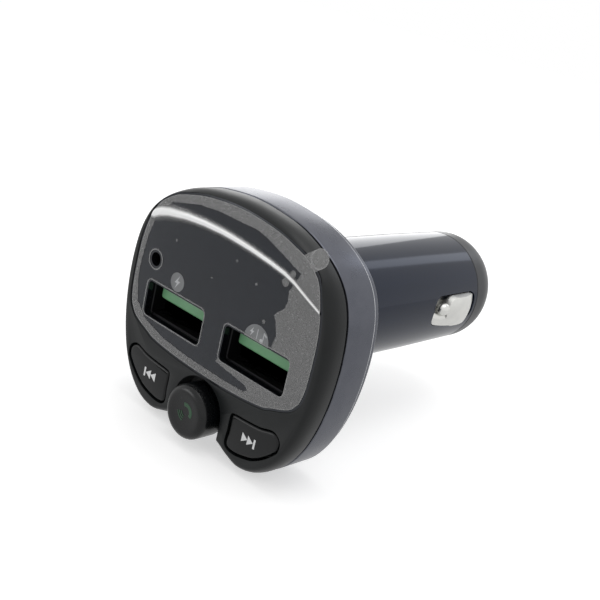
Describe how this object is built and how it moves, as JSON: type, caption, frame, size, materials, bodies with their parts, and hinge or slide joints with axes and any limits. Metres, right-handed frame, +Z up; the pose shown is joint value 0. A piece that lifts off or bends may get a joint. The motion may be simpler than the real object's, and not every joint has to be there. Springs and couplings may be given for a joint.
{
  "type": "car fm transmitter",
  "caption": "Plug-in car audio transmitter: display head with two USB sockets and call and skip keys on a 12 V plug with sprung contacts.",
  "frame": {"origin": "on the plug's axis at the shoulder, where the barrel leaves the display head", "axes": "+Y along the plug, away from the head's face; +Z up; +X to the right as seen facing the display"},
  "size_m": [0.0426, 0.0708, 0.0387],
  "materials": {
    "front_bezel": "fine matt",
    "display_lens": "dark tinted, glossy",
    "protective_film": "thin clear film, partly lifted",
    "head_shell": "satin grey lacquer",
    "rear_cover": "satin grey lacquer",
    "plug_barrel": "blue-black gloss",
    "tip_cap": "satin grey",
    "main_board": "solder mask",
    "power_board": "solder mask",
    "board_header": "moulded, plated pins",
    "display_module": "dark face",
    "display_pins": "tinned",
    "usb_shell": "plated sheet",
    "usb_insert": "green moulding",
    "usb_contacts": "gold plated",
    "microphone": "drawn can",
    "mic_boot": "matt",
    "switch": "moulded",
    "actuator": "moulded",
    "side_key": "satin",
    "call_knob": "satin black",
    "chip": "moulded",
    "crystal": "metal can",
    "power_inductor": "moulded ferrite",
    "input_capacitor": "sleeved can",
    "output_capacitor": "ceramic",
    "board_screws": "zinc plated",
    "contact_seat": "moulded insulator",
    "spring": "spring steel",
    "centre_contact": "nickel plated",
    "ground_clip": "nickel plated"
  },
  "bodies": {
    "housing": {"front_bezel": "front_bezel", "display_lens": "display_lens", "protective_film": "protective_film", "head_shell": "head_shell", "rear_cover": "rear_cover", "plug_barrel": "plug_barrel", "tip_cap": "tip_cap", "main_board": "main_board", "power_board": "power_board", "board_header": "board_header", "display_module": "display_module", "display_pins": "display_pins", "usb_shell_left": "usb_shell", "usb_shell_right": "usb_shell", "usb_insert_left": "usb_insert", "usb_insert_right": "usb_insert", "usb_contacts_left": "usb_contacts", "usb_contacts_right": "usb_contacts", "microphone": "microphone", "mic_boot": "mic_boot", "prev_switch": "switch", "call_switch": "switch", "next_switch": "switch", "bluetooth_chip": "chip", "fm_chip": "chip", "crystal": "crystal", "display_driver": "chip", "converter_chip": "chip", "power_inductor": "power_inductor", "input_capacitor": "input_capacitor", "output_capacitor": "output_capacitor", "board_screws": "board_screws", "contact_seat": "contact_seat", "contact_spring": "spring", "clip_spring_left": "spring", "clip_spring_right": "spring"},
    "prev_button": {"prev_key": "side_key", "prev_actuator": "actuator"},
    "call_button": {"call_knob": "call_knob", "call_actuator": "actuator"},
    "next_button": {"next_key": "side_key", "next_actuator": "actuator"},
    "centre_pin": {"centre_contact": "centre_contact"},
    "clip_left": {"ground_clip_left": "ground_clip"},
    "clip_right": {"ground_clip_right": "ground_clip"}
  },
  "joints": [
    {"name": "prev_press", "type": "slide", "parent": "housing", "child": "prev_button", "axis": [0, 1, 0], "range_m": [0, 0.0005], "stiffness_N_per_m": 1500},
    {"name": "call_press", "type": "slide", "parent": "housing", "child": "call_button", "axis": [0, 1, 0], "range_m": [0, 0.0006], "stiffness_N_per_m": 1500},
    {"name": "next_press", "type": "slide", "parent": "housing", "child": "next_button", "axis": [0, 1, 0], "range_m": [0, 0.0005], "stiffness_N_per_m": 1500},
    {"name": "contact_press", "type": "slide", "parent": "housing", "child": "centre_pin", "axis": [0, -1, 0], "range_m": [0, 0.002], "stiffness_N_per_m": 2500, "deforming": ["contact_spring"]},
    {"name": "clip_left_press", "type": "slide", "parent": "housing", "child": "clip_left", "axis": [1, 0, 0], "range_m": [0, 0.0017], "stiffness_N_per_m": 3000, "deforming": ["clip_spring_left"]},
    {"name": "clip_right_press", "type": "slide", "parent": "housing", "child": "clip_right", "axis": [-1, 0, 0], "range_m": [0, 0.0017], "stiffness_N_per_m": 3000, "deforming": ["clip_spring_right"]}
  ]
}
